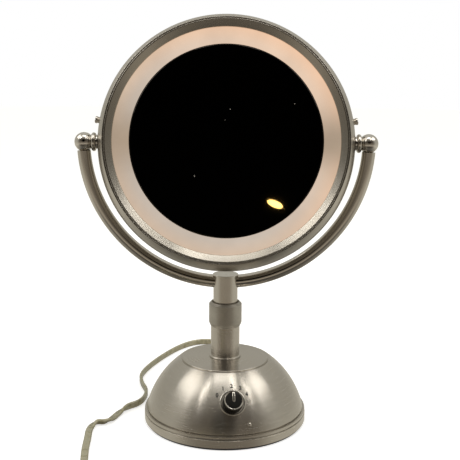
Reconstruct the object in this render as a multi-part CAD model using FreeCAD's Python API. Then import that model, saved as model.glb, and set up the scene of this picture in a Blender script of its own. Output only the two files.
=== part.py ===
import FreeCAD, Part
import math
import os

from FreeCAD import Vector

# Lighted vanity mirror, in millimetres.
# Origin: centre of the base's underside. +Z up, -Y the mirror's front, X along the tilt axis.

# Base
BASE_YAW = 6.6              # the base is turned under the yoke, about Z
SHEET = 1.2                 # spun sheet of the base
DOME_R = 77.3               # ellipse of the dome: half width, half height and centre height
DOME_H = 83.2
DOME_Z = -10.2
BAND_R = 76.2
BAND_Z = (1.8, 9.0)
BEAD_R = 75.7
BEAD_Z = (9.6, 12.6)
LIP_Z = 13.8
GROOVE = 1.0                # depth of the groove under the dome's lip
STEP_Z = 59.4
DISC_R = 40.3
DISC_EDGE_Z = 60.2
DISC_TOP_Z = 61.3
PAD_R, PAD_H = 74.6, 1.8
PLATE_R, PLATE_H = 74.2, 1.6
BALLAST_R, BALLAST_BORE, BALLAST_H = 62.0, 26.0, 11.0
LUG_R = 67.5
LUG_COUNT = 3

# Stem, lock collar and sliding post
STEM_R, STEM_BORE = 13.5, 12.2
STEM_Z = (34.0, 97.0)
STEM_NECK_R, STEM_NECK_TOP = 13.0, 105.0
STEM_FLANGE_R, STEM_FLANGE_H = 14.9, 1.6
COLLAR_R = 15.3
COLLAR_Z = (91.5, 114.5)
COLLAR_MOUTH = 12.6
BUSH_Z = (88.3, 111.5)
POST_R, POST_BORE = 11.3, 9.6
POST_Z = (38.0, 139.5)
POST_CAP_R, POST_CAP_H = 11.9, 1.2
STOP_Z = (40.0, 43.0)
RUNNING = 0.08              # radial running clearance of the stem's sliding and turning fits

# Yoke and pivots
PIVOT_Z = 262.3
YOKE_R = 128.9
YOKE_TUBE_R, YOKE_TUBE_BORE = 6.05, 4.85
BALL_X, BALL_R = 128.4, 8.7
NECK_R = 5.9
WASHER_X = (117.6, 121.5)
WASHER_R = 8.5
BOSS_X = (112.3, 117.3)
BOSS_R, BOSS_SHANK_R = 6.3, 5.0
SPINDLE_X = (108.5, 127.0)
SPINDLE_R, SPINDLE_BORE = 4.0, 2.2
SPINDLE_FIT = 0.05
WIRE_R = 2.2
NUT_X = (109.0, 112.0)

# Head, measured from its centre: r outwards, h forwards along the mirror's normal
TILT = 12.7                 # the head leans back at rest
BAND_OUT_R, BAND_LIP_R, BAND_LIP_H = 116.1, 110.0, 19.0
BAND_WALL = 1.0
GLASS_FRONT, GLASS_T = 15.2, 3.0
MIRROR_R = 86.6
DIFFUSER_R = (86.8, 104.5)
BEZEL_IN_R, BEZEL_OUT_R = 101.5, 108.6
BEZEL_EDGE_H = 19.4
MAGNIFIER_CURVE = 640.0     # radius of the magnifying mirror's dish
CARRIER_R = (20.0, 106.5)
CARRIER_T = 2.0
LAMP_R = 95.0               # ring on which the lamps sit
LAMP_ANGLES = (45, 135, 225, 315)
LAMP_TUBE_R, LAMP_LENGTH = 5.0, 26.0
SCREW_ANGLE = 9.7           # rim screws, above the tilt axis
SCREW_TIP_R = 120.4

# Rotary switch on the dome
KNOB_Z = 38.8
KNOB_BASE_R, KNOB_TOP_R = 9.1, 8.2
KNOB_HEIGHT = (1.0, 11.0)
KNOB_RIBS = 28
ESCUTCHEON_R = (10.2, 11.7)
SHAFT_R = 3.0
BUSHING_R = 4.6
RIVET_YAW, RIVET_Z = 11.6, 21.3
RIVET_SHANK_R = 0.9

# Flat twin lead, as a round tube as wide as the lead
CORD_R = 3.3
CORD_EXIT_Z = 6.2
RELIEF_LENGTH = 24.0
COIL_CENTRE = (-74.0, -173.0)
COIL_TURN_R = (29.4, 42.6)  # innermost and outermost turn
COIL_LAYERS = 2
PLUG_FACE = (-6.0, -215.6)  # where the plug's blades leave its body
PLUG_Z = 7.4
PLUG_LENGTH = 30.0

ORIGIN = Vector(0, 0, 0)
AXIS_X = Vector(1, 0, 0)
AXIS_Y = Vector(0, 1, 0)
AXIS_Z = Vector(0, 0, 1)

LEAD_ROUTE = [
    (-11.6, 99.9, CORD_EXIT_Z), (-13.5, 115.0, 4.9), (-11.5, 134.0, 3.3), (-4.0, 152.0, 3.3),
    (5.0, 168.0, 3.3), (8.0, 187.0, 3.3), (0.0, 206.0, 3.3), (-18.0, 217.0, 3.3),
    (-38.0, 213.0, 3.3), (-54.0, 195.0, 3.3), (-66.0, 173.0, 3.3), (-77.0, 148.0, 3.3),
    (-86.0, 122.0, 3.3), (-91.0, 98.0, 3.3), (-87.0, 75.0, 3.3), (-80.0, 56.0, 3.3),
    (-80.0, 38.0, 3.3), (-84.5, 23.0, 3.3), (-95.0, 14.0, 3.3), (-102.0, 2.0, 3.3),
    (-106.0, -12.0, 3.3), (-112.0, -23.0, 3.3), (-120.0, -21.0, 3.3), (-124.5, -34.0, 3.3),
    (-122.5, -55.0, 3.3), (-121.0, -79.0, 3.3), (-117.5, -105.0, 3.3), (-116.6, -132.0, 3.3),
    (-116.2, -155.5, 3.3),
]
TAIL_ROUTE = [
    (-60.0, -215.6, 9.0), (-52.0, -215.2, 8.0), (-44.0, -215.9, 7.4), (-36.0, -215.6, PLUG_Z),
]


def flat_point(point):
    """A point (r, z) in the plane that is turned about Z."""
    return Vector(point[0], 0, point[1])


def outline(steps):
    """Closed face from points; a step ("arc", mid, end) or ("curve", points) is round."""
    edges = []
    here = steps[0]
    for step in steps[1:]:
        if step[0] == "arc":
            arc = Part.Arc(flat_point(here), flat_point(step[1]), flat_point(step[2]))
            edges.append(arc.toShape())
            here = step[2]
        elif step[0] == "curve":
            spline = Part.BSplineCurve()
            spline.interpolate([flat_point(here)] + [flat_point(p) for p in step[1]])
            edges.append(spline.toShape())
            here = step[1][-1]
        else:
            edges.append(Part.LineSegment(flat_point(here), flat_point(step)).toShape())
            here = step
    if here != steps[0]:
        edges.append(Part.LineSegment(flat_point(here), flat_point(steps[0])).toShape())
    return Part.Face(Part.Wire(edges))


def lathe(steps):
    """Solid turned about Z from an outline of (r, z) steps."""
    return outline(steps).revolve(ORIGIN, AXIS_Z, 360)


def disc(radius, low, high):
    return Part.makeCylinder(radius, high - low, Vector(0, 0, low))


def ring(outer, inner, low, high):
    return disc(outer, low, high).cut(disc(inner, low - 1, high + 1))


def block(size, centre):
    corner = Vector(centre[0] - size[0] / 2, centre[1] - size[1] / 2, centre[2] - size[2] / 2)
    return Part.makeBox(size[0], size[1], size[2], corner)


def hexagon(across, low, high):
    corner = across / math.sqrt(3)
    points = [Vector(corner * math.cos(math.radians(60 * k)), corner * math.sin(math.radians(60 * k)), low)
              for k in range(7)]
    return Part.Face(Part.makePolygon(points)).extrude(Vector(0, 0, high - low))


def moved(shape, offset):
    result = shape.copy()
    result.translate(Vector(*offset))
    return result


def turned(shape, axis, angle):
    result = shape.copy()
    result.rotate(ORIGIN, axis, angle)
    return result


def around(shape, angles):
    """Copies of a shape turned about Z."""
    return [turned(shape, AXIS_Z, angle) for angle in angles]


def on_base(shape):
    """From the base's own frame, whose switch faces -Y, to the part's frame."""
    return turned(shape, AXIS_Z, BASE_YAW)


def dome_radius(z, inset=0.0):
    share = (z - DOME_Z) / (DOME_H - inset)
    return (DOME_R - inset) * math.sqrt(1 - share * share)


def dome_slope(z):
    """Elevation of the dome's outward normal, in degrees."""
    return math.degrees(math.atan2((z - DOME_Z) / DOME_H ** 2, dome_radius(z) / DOME_R ** 2))


def dome_curve(low, high, inset=0.0, count=7):
    """Points up the dome, after the first one."""
    heights = [low + (high - low) * k / count for k in range(1, count + 1)]
    return ("curve", [(dome_radius(z, inset), z) for z in heights])


def on_dome(shape, z, yaw=0.0):
    """From a frame with +Z out of the dome and +Y up its side, to the part's frame."""
    result = turned(shape, AXIS_X, 90 - dome_slope(z))
    result.translate(Vector(0, -dome_radius(z), z))
    return on_base(turned(result, AXIS_Z, yaw))


def on_head(shape):
    """From the head's frame, +Z out of the front mirror and +Y to its top, to the part's frame."""
    return moved(turned(shape, AXIS_X, 90 - TILT), (0, 0, PIVOT_Z))


def both_faces(shape):
    return shape.mirror(ORIGIN, AXIS_Z)


def on_pivots(shape):
    """A piece turned about Z becomes a pair along the tilt axis, one at each side."""
    right = moved(turned(shape, AXIS_Y, 90), (0, 0, PIVOT_Z))
    return [right, right.mirror(ORIGIN, AXIS_X)]


# --- base -----------------------------------------------------------------------------------

def base_outside():
    """Everything inside the base's outer face: band, bead, groove, dome and stepped disc."""
    groove_r = dome_radius(LIP_Z) - GROOVE
    return lathe([
        (0, BAND_Z[0]), (BAND_R, BAND_Z[0]), (BAND_R, BAND_Z[1]), (BEAD_R - 0.7, BAND_Z[1] + 0.3),
        (BEAD_R, BEAD_Z[0]), ("arc", (BEAD_R + 0.3, (BEAD_Z[0] + BEAD_Z[1]) / 2), (BEAD_R, BEAD_Z[1])),
        (groove_r, BEAD_Z[1] + 0.2), (groove_r, LIP_Z - 0.4), (dome_radius(LIP_Z), LIP_Z),
        dome_curve(LIP_Z, STEP_Z), (DISC_R, STEP_Z - 0.6), (DISC_R, DISC_EDGE_Z - 0.5),
        ("arc", (DISC_R - 0.3, DISC_EDGE_Z - 0.1), (DISC_R - 1.0, DISC_EDGE_Z)),
        (STEM_FLANGE_R, DISC_TOP_Z), (0, DISC_TOP_Z),
    ])


def base_inside():
    """The hollow under the shell."""
    groove_r = dome_radius(LIP_Z) - GROOVE - SHEET
    under_step = STEP_Z - 2.0
    return lathe([
        (0, 0), (BAND_R - SHEET, 0), (BAND_R - SHEET, BAND_Z[1] - SHEET), (groove_r, BAND_Z[1]),
        (groove_r, LIP_Z), (dome_radius(LIP_Z + 1, SHEET), LIP_Z + 1), dome_curve(LIP_Z + 1, under_step, SHEET),
        (DISC_R - SHEET, under_step), (DISC_R - SHEET, DISC_EDGE_Z - SHEET),
        (STEM_FLANGE_R, DISC_TOP_Z - SHEET), (0, DISC_TOP_Z - SHEET),
    ])


def base_shell():
    shell = base_outside().cut(base_inside())
    shell = shell.cut(disc(STEM_R + 0.1, STEP_Z - 5, DISC_TOP_Z + 2))
    cord_hole = moved(turned(disc(5.1, 60, 90), AXIS_X, -90), (0, 0, CORD_EXIT_Z))
    shell = shell.cut(on_base(cord_hole))
    shell = shell.cut(on_dome(disc(BUSHING_R + 0.1, -9, 4), KNOB_Z))
    return shell.cut(on_dome(disc(RIVET_SHANK_R + 0.1, -4, 4), RIVET_Z, RIVET_YAW))


def lug_angles():
    return [90 + BASE_YAW + 60 + 360 * k / LUG_COUNT for k in range(LUG_COUNT)]


def shell_lugs():
    top = PAD_H + PLATE_H + 8
    lug = block((8, 9, 8), (LUG_R + 1, 0, top - 4)).cut(moved(disc(1.65, 0, 20), (LUG_R, 0, 0)))
    return [piece.common(base_inside()) for piece in around(lug, lug_angles())]


def bottom_plate():
    plate = disc(PLATE_R, PAD_H, PAD_H + PLATE_H)
    sink = Part.makeCone(3.6, 2.0, PLATE_H, Vector(LUG_R, 0, PAD_H))
    for hole in around(sink, lug_angles()):
        plate = plate.cut(hole)
    return plate


def bottom_plate_screws():
    head = Part.makeCone(3.5, 1.6, PLATE_H, Vector(LUG_R, 0, PAD_H))
    screw = head.fuse(moved(disc(1.6, PAD_H + PLATE_H - 0.1, PAD_H + 8), (LUG_R, 0, 0)))
    slot = block((7, 0.9, 0.7), (LUG_R, 0, PAD_H + 0.3))
    return around(screw.cut(slot), lug_angles())


def ballast():
    low = PAD_H + PLATE_H
    return lathe([
        (BALLAST_BORE, low), (BALLAST_R, low), (BALLAST_R, low + BALLAST_H - 2),
        (BALLAST_R - 2, low + BALLAST_H), (BALLAST_BORE, low + BALLAST_H),
    ])


def lower_stem():
    stem = ring(STEM_R, STEM_BORE, *STEM_Z).fuse(ring(STEM_NECK_R, STEM_BORE, STEM_Z[1], STEM_NECK_TOP))
    flange_low = DISC_TOP_Z
    flange = lathe([
        (STEM_BORE, flange_low), (STEM_FLANGE_R, flange_low), (STEM_FLANGE_R, flange_low + STEM_FLANGE_H / 2),
        ("arc", (STEM_FLANGE_R - 0.3, flange_low + STEM_FLANGE_H - 0.4), (STEM_R, flange_low + STEM_FLANGE_H)),
        (STEM_BORE, flange_low + STEM_FLANGE_H),
    ])
    return stem.fuse(flange).removeSplitter()


def stem_nut():
    top = DISC_TOP_Z - SHEET - 0.3
    return hexagon(36, top - 5, top).cut(disc(STEM_R, top - 6, top + 1))


def dimmer_board():
    low = PAD_H + PLATE_H + BALLAST_H
    board = block((46, 26, 1.6), (0, 38, low + 4))
    parts = [
        block((12, 10, 9), (-14, 40, low + 9.2)), block((8, 8, 12), (2, 42, low + 10.7)),
        moved(disc(4.5, low + 4.7, low + 16), (15, 36, 0)), moved(disc(2.2, low, low + 3.3), (-18, 30, 0)),
        moved(disc(2.2, low, low + 3.3), (18, 30, 0)),
    ]
    return on_base(board.multiFuse(parts))


def terminal_block():
    low = PAD_H + PLATE_H + BALLAST_H
    body = block((14, 22, 11), (-42, 8, low + 5.6))
    for y in (2, 8, 14):
        body = body.cut(moved(disc(2.0, low + 6, low + 14), (-42, y, 0)))
    return on_base(body)


# --- rotary switch --------------------------------------------------------------------------

def switch_body():
    case = block((24, 26, 13), (0, 0, -15.5))
    bushing = disc(BUSHING_R, -9.2, 2.6)
    bore = disc(SHAFT_R + SPINDLE_FIT, -16, 3)
    tags = [block((3, 0.8, 5), (x, -8, -24)) for x in (-8, -4, 0, 4, 8)]
    return on_dome(case.fuse(bushing).cut(bore).multiFuse(tags), KNOB_Z)


def switch_nut():
    return on_dome(hexagon(13, 0.5, 2.3).cut(disc(BUSHING_R, 0, 3)), KNOB_Z)


def escutcheon():
    dish = lathe([
        (BUSHING_R + 0.1, -1.5), (ESCUTCHEON_R[1], -1.5), (ESCUTCHEON_R[1], 1.0),
        ("arc", (ESCUTCHEON_R[1] - 0.35, 1.7), (ESCUTCHEON_R[0] + 0.4, 1.9)),
        (ESCUTCHEON_R[0], 1.5), (ESCUTCHEON_R[0], 0.4), (BUSHING_R + 0.1, 0.4),
    ])
    return on_dome(dish, KNOB_Z).cut(base_outside())


def switch_shaft():
    return on_dome(disc(SHAFT_R, -15, 7.6).cut(block((7, 3, 6), (0, 3.3, 5))), KNOB_Z)


def knob_body():
    low, high = KNOB_HEIGHT
    body = Part.makeCone(KNOB_BASE_R, KNOB_TOP_R, high - low, Vector(0, 0, low))
    inside = disc(8.0, low - 1, low + 1.8).fuse(disc(SHAFT_R, low, 7.6).cut(block((7, 3, 6), (0, 3.3, 5))))
    lean = math.degrees(math.atan2(KNOB_BASE_R - KNOB_TOP_R, high - low))
    groove = moved(turned(disc(0.42, -1, high + 1), AXIS_Y, -lean), (KNOB_BASE_R + 0.14, 0, 0))
    grooves = Part.makeCompound(around(groove, [360 * k / KNOB_RIBS for k in range(KNOB_RIBS)]))
    return on_dome(body.cut(inside).cut(grooves), KNOB_Z)


def knob_ring():
    low = KNOB_HEIGHT[1]
    rim = lathe([
        (7.3, low), (KNOB_TOP_R, low), ("arc", (KNOB_TOP_R + 0.05, low + 0.6), (KNOB_TOP_R - 0.4, low + 1.1)),
        (7.6, low + 1.1), (7.3, low + 0.7),
    ])
    return on_dome(rim, KNOB_Z)


def knob_inlay():
    low = KNOB_HEIGHT[1]
    return on_dome(disc(7.3, low, low + 0.5), KNOB_Z)


def knob_pointer():
    low = KNOB_HEIGHT[1] + 0.5
    bar = block((2.6, 7.4, 0.8), (0, 3.4, low + 0.4)).fuse(moved(disc(1.3, low, low + 0.8), (0, -0.3, 0)))
    slot = block((0.9, 6.0, 2), (0, 2.9, low + 0.5))
    return on_dome(bar.cut(slot), KNOB_Z)


def front_rivet():
    cap = Part.makeSphere(2.0).cut(block((9, 9, 4), (0, 0, -1.1)))
    cap = moved(cap, (0, 0, -0.9))
    return on_dome(cap.fuse(disc(RIVET_SHANK_R, -2.0, 0.5)), RIVET_Z, RIVET_YAW)


# --- collar, bush and post ------------------------------------------------------------------

def lock_collar():
    low, high = COLLAR_Z
    return lathe([
        (STEM_R + RUNNING, low), (STEM_R + 0.3, low), (COLLAR_R, low + 3.2), (COLLAR_R, high - 2.2),
        (COLLAR_MOUTH + 0.8, high), (COLLAR_MOUTH, high), (POST_R + 0.4, high - 1.8), (POST_R + 0.4, high - 2.4),
        (STEM_NECK_R + RUNNING, STEM_NECK_TOP + 1.0), (STEM_NECK_R + RUNNING, STEM_Z[1] + 0.3),
        (STEM_R + RUNNING, STEM_Z[1] + 0.3),
    ])


def collet_bush():
    low, high = BUSH_Z
    inner, sleeve = POST_R + RUNNING, STEM_BORE - RUNNING
    bush = lathe([
        (inner, low), (sleeve, low), (sleeve, STEM_NECK_TOP + 0.1), (12.6, STEM_NECK_TOP + 0.4),
        (12.6, STEM_NECK_TOP + 1.2), (inner + 0.3, high - 0.6), (inner, high - 0.6),
    ])
    slit = block((1.2, 40, 9), (0, 0, high - 4.5))
    return bush.cut(slit).cut(turned(slit, AXIS_Z, 90))


def yoke_arc(radius):
    """Half ring of round section, open upwards, whose ends stand at the pivots."""
    section = Part.Face(Part.Wire(Part.makeCircle(radius, Vector(YOKE_R, 0, 0), AXIS_Z)))
    return moved(section.revolve(ORIGIN, AXIS_Y, 180), (0, 0, PIVOT_Z))


def yoke_tube():
    ends = on_pivots(moved(Part.makeSphere(BALL_R), (0, 0, BALL_X)))
    tube = yoke_arc(YOKE_TUBE_R).cut(yoke_arc(YOKE_TUBE_BORE)).cut(Part.makeCompound(ends))
    return tube.cut(disc(WIRE_R + 0.3, PIVOT_Z - YOKE_R - YOKE_TUBE_R - 1, PIVOT_Z - YOKE_R))


def upper_post():
    return ring(POST_R, POST_BORE, *POST_Z).cut(yoke_arc(YOKE_TUBE_R))


def post_cap():
    low = POST_Z[1]
    cap = lathe([
        (0, low), (POST_CAP_R, low), (POST_CAP_R, low + 0.6),
        ("arc", (POST_CAP_R - 0.2, low + 1.0), (POST_CAP_R - 0.6, low + POST_CAP_H)), (0, low + POST_CAP_H),
    ])
    return cap.cut(yoke_arc(YOKE_TUBE_R + 0.1))


def post_stop_ring():
    stop = ring(STEM_BORE - RUNNING, POST_R, *STOP_Z)
    return stop.cut(block((6, 8, 9), (0, -12, 41)))


def yoke_balls():
    ball = moved(Part.makeSphere(BALL_R), (0, 0, BALL_X))
    ball = ball.fuse(disc(NECK_R, WASHER_X[1], BALL_X - 3))
    ball = ball.cut(disc(SPINDLE_R, WASHER_X[1], SPINDLE_X[1])).cut(disc(BALL_R, BOSS_X[0], WASHER_X[1]))
    return [side.cut(yoke_arc(WIRE_R + 0.1)) for side in on_pivots(ball)]


def pivot_washer():
    low, high = WASHER_X
    return lathe([
        (SPINDLE_R, low), (WASHER_R - 1.6, low), ("arc", (WASHER_R, low + 1.7), (WASHER_R - 2.2, high)),
        (SPINDLE_R, high),
    ])


def pivot_boss():
    bore = SPINDLE_R + SPINDLE_FIT
    return lathe([
        (bore, BOSS_X[0]), (BOSS_SHANK_R, BOSS_X[0]), (BOSS_SHANK_R, BAND_OUT_R + 0.05),
        (BOSS_R, BAND_OUT_R + 0.05), (BOSS_R, BOSS_X[1]), (bore, BOSS_X[1]),
    ])


def pivot_spindle():
    return ring(SPINDLE_R, SPINDLE_BORE, *SPINDLE_X)


def spindle_nut():
    return hexagon(12, *NUT_X).cut(disc(SPINDLE_R, NUT_X[0] - 1, NUT_X[1] + 1))


def post_wiring():
    """The pair of wires up the post and inside one arm of the yoke."""
    tube_bottom = PIVOT_Z - YOKE_R
    arm = yoke_arc(WIRE_R).common(block((YOKE_R, 20, YOKE_R - 12), (YOKE_R / 2, 0, tube_bottom + YOKE_R / 2 - 6)))
    return disc(WIRE_R, POST_Z[0] - 3, tube_bottom).fuse(arm)


# --- head -----------------------------------------------------------------------------------

def head_band():
    wall_r, wall_lip = BAND_OUT_R - BAND_WALL, BAND_LIP_R - BAND_WALL
    band = lathe([
        (wall_lip, -BAND_LIP_H), (BAND_LIP_R, -BAND_LIP_H),
        ("arc", (BAND_OUT_R, 0), (BAND_LIP_R, BAND_LIP_H)), (wall_lip, BAND_LIP_H),
        ("arc", (wall_r, 0), (wall_lip, -BAND_LIP_H)),
    ])
    band = on_head(band)
    for hole in on_pivots(disc(BOSS_SHANK_R, BOSS_X[0], BOSS_X[1])):
        band = band.cut(hole)
    for hole in rim_screw_set(disc(1.5, BAND_OUT_R - 4, BAND_OUT_R + 3)):
        band = band.cut(hole)
    return band


def bezel():
    back = GLASS_FRONT + 0.1
    return lathe([
        (BEZEL_IN_R, back), (BEZEL_IN_R + 0.4, back + 0.7),
        (BEZEL_OUT_R - 0.9, BEZEL_EDGE_H - 0.1), ("arc", (BEZEL_OUT_R - 0.2, BEZEL_EDGE_H - 0.1),
                                                 (BEZEL_OUT_R, BEZEL_EDGE_H - 0.8)),
        (BEZEL_OUT_R, back - GLASS_T - 1.5), (BEZEL_OUT_R - 1.2, back - GLASS_T - 1.5),
        (BEZEL_OUT_R - 1.2, back + 1.6), (DIFFUSER_R[1], back),
    ])


def diffuser():
    return ring(DIFFUSER_R[1], DIFFUSER_R[0], GLASS_FRONT - GLASS_T, GLASS_FRONT)


def front_mirror():
    bevel = 1.2
    return lathe([
        (0, GLASS_FRONT - GLASS_T), (MIRROR_R, GLASS_FRONT - GLASS_T), (MIRROR_R, GLASS_FRONT - 0.6),
        (MIRROR_R - bevel, GLASS_FRONT), (0, GLASS_FRONT),
    ])


def magnifier():
    """Dished glass of even thickness; its frame's +Z points out of the rear face."""
    sag = MAGNIFIER_CURVE - math.sqrt(MAGNIFIER_CURVE ** 2 - MIRROR_R ** 2)
    half = MIRROR_R / 2
    half_sag = MAGNIFIER_CURVE - math.sqrt(MAGNIFIER_CURVE ** 2 - half ** 2)
    edge, back = GLASS_FRONT - 0.1, GLASS_FRONT - 0.1 - GLASS_T
    return lathe([
        (0, back - sag), ("arc", (half, back - sag + half_sag), (MIRROR_R, back)), (MIRROR_R, edge),
        ("arc", (half, edge - sag + half_sag), (0, edge - sag)),
    ])


def lamp_frame(shape, angle):
    """A lamp's own frame has +Z along the lamp, which lies along the ring's tangent."""
    return turned(moved(turned(shape, AXIS_X, 90), (LAMP_R, 0, 0)), AXIS_Z, angle)


def lamp_carrier():
    plate = ring(CARRIER_R[1], CARRIER_R[0], -CARRIER_T / 2, CARRIER_T / 2)
    window = block((13, 52, 8), (LAMP_R, 0, 0))
    for hole in around(window, LAMP_ANGLES):
        plate = plate.cut(hole)
    return plate


def mirror_standoffs():
    """Posts that carry the two mirrors on the plate."""
    front = moved(disc(4, CARRIER_T / 2, GLASS_FRONT - GLASS_T), (70, 0, 0))
    magnifier_back = GLASS_FRONT - 0.1 - GLASS_T - 2.8
    rear = both_faces(moved(disc(4, CARRIER_T / 2, magnifier_back), (70, 0, 0)))
    return around(front, (0, 90, 180, 270)) + around(rear, (0, 90, 180, 270))


def lamp_sockets():
    socket = block((12, 12, 11), (0, 0, -LAMP_LENGTH / 2 - 5.8)).cut(disc(3.6, -LAMP_LENGTH, 0))
    return [lamp_frame(socket, angle) for angle in LAMP_ANGLES]


def lamps():
    """Tubular bulbs with a cap that stands in the socket."""
    half = LAMP_LENGTH / 2
    bulb = lathe([
        (0, -half - 8), (3.5, -half - 8), (3.5, -half), (LAMP_TUBE_R - 1.2, -half), (LAMP_TUBE_R, -half + 2),
        (LAMP_TUBE_R, half - 4), ("arc", (LAMP_TUBE_R - 1.2, half - 1.2), (LAMP_TUBE_R - 4, half)), (0, half),
    ])
    return [lamp_frame(bulb, angle) for angle in LAMP_ANGLES]


def head_wiring():
    """Ring of wire that joins the lamp sockets, with a branch to one spindle."""
    loop = Part.makeTorus(84, 1.4, Vector(0, 0, CARRIER_T / 2 + 1.5), AXIS_Z)
    branch = moved(turned(disc(1.2, 84, 106), AXIS_Y, 90), (0, 0, CARRIER_T / 2 + 1.5))
    return loop.fuse(branch)


def rim_screw_set(shape):
    """A piece along the rim's radius, at each side above the tilt axis."""
    right = turned(turned(shape, AXIS_Y, 90), AXIS_Z, SCREW_ANGLE)
    return [on_head(right), on_head(right.mirror(ORIGIN, AXIS_X))]


def rim_screw():
    collar = disc(2.8, BAND_OUT_R + 0.02, SCREW_TIP_R - 2.1)
    head = disc(3.2, SCREW_TIP_R - 2.1, SCREW_TIP_R)
    shank = disc(1.5, BAND_OUT_R - 4, BAND_OUT_R + 0.1)
    slot = block((9, 1.1, 1.3), (0, 0, SCREW_TIP_R - 0.6))
    return collar.multiFuse([head, shank]).cut(slot)


# --- lead, coil and plug --------------------------------------------------------------------

def cord_path(points):
    """Straight runs joined by tangent arcs, each as large as its two runs allow."""
    corners = [Vector(*point) for point in points]
    edges = []
    radii = []
    here = corners[0]
    for before, corner, after in zip(corners, corners[1:], corners[2:]):
        back = (before - corner).normalize()
        ahead = (after - corner).normalize()
        half_turn = (math.pi - back.getAngle(ahead)) / 2
        reach = 0.45 * min((before - corner).Length, (after - corner).Length)
        radius = reach / math.tan(half_turn)
        middle_way = (back + ahead).normalize()
        gap = radius / math.cos(half_turn) - radius
        start, end = corner + back * reach, corner + ahead * reach
        edges.append(Part.LineSegment(here, start).toShape())
        edges.append(Part.Arc(start, corner + middle_way * gap, end).toShape())
        radii.append(radius)
        here = end
    edges.append(Part.LineSegment(here, corners[-1]).toShape())
    return Part.Wire(edges), radii


def cord_tube(name, points):
    path, radii = cord_path(points)
    start, ahead = Vector(*points[0]), Vector(*points[1]) - Vector(*points[0])
    profile = Part.Wire(Part.makeCircle(CORD_R, start, ahead))
    tube = path.makePipeShell([profile], True, False)
    expected = math.pi * CORD_R ** 2 * path.Length
    print(name, "length %.1f" % path.Length, "volume ratio %.4f" % (tube.Volume / expected))
    print("  radii", " ".join("%.0f" % radius for radius in radii))
    return tube


def strain_relief():
    """Tapered sleeve that holds the lead in the shell's rear hole."""
    start = BAND_R - 3.0
    end = start + 3.0 + RELIEF_LENGTH
    sleeve = lathe([
        (0, start - 1.5), (6.0, start - 1.5), (6.0, start + 0.2), (5.0, start + 0.2), (5.0, BAND_R + 0.1),
        (6.2, BAND_R + 0.1), (6.0, BAND_R + 2.2), (CORD_R + 0.9, end), (0, end),
    ])
    sleeve = on_base(moved(turned(sleeve, AXIS_X, -90), (0, 0, CORD_EXIT_Z)))
    sleeve = sleeve.cut(disc(PLATE_R + 0.2, -1, PAD_H + PLATE_H + 0.1)).cut(disc(PAD_R + 0.2, -1, PAD_H))
    return sleeve.cut(base_shell())


def cord_inner():
    """The lead's last stretch inside the base, from the strain relief to the terminal block."""
    ahead = Vector(-math.sin(math.radians(BASE_YAW)), math.cos(math.radians(BASE_YAW)), 0)
    start = ahead * (BAND_R - 4.5) + Vector(0, 0, CORD_EXIT_Z)
    return Part.makeCylinder(2.2, 7.0, start, ahead * -1)


def cord_coil():
    layer = 2 * CORD_R
    outer, inner = COIL_TURN_R[1] + CORD_R, COIL_TURN_R[0] - CORD_R
    coil = ring(outer, inner, 0, layer * COIL_LAYERS)
    return moved(coil, (COIL_CENTRE[0], COIL_CENTRE[1], 0))


def plug_body():
    """Moulded plug, lying flat, with its cord end towards the coil."""
    x, y = PLUG_FACE
    body = block((PLUG_LENGTH - 10, 24, 2 * PLUG_Z), (x - (PLUG_LENGTH - 10) / 2, y, PLUG_Z))
    body = body.makeFillet(3.0, [edge for edge in body.Edges if edge.BoundBox.XLength > 5])
    grip = block((12, 15, 11), (x - PLUG_LENGTH + 6, y, PLUG_Z))
    grip = grip.makeFillet(2.5, [edge for edge in grip.Edges if edge.BoundBox.XLength > 5])
    return body.fuse(grip)


def plug_blades():
    x, y = PLUG_FACE
    narrow = block((16, 1.5, 6.35), (x + 8, y - 6.35, PLUG_Z))
    wide = block((16, 1.5, 7.9), (x + 8, y + 6.35, PLUG_Z))
    hole = turned(disc(1.6, -3, 3), AXIS_X, 90)
    return [blade.cut(moved(hole, (x + 12, blade.CenterOfMass.y, PLUG_Z))) for blade in (narrow, wide)]


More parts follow.
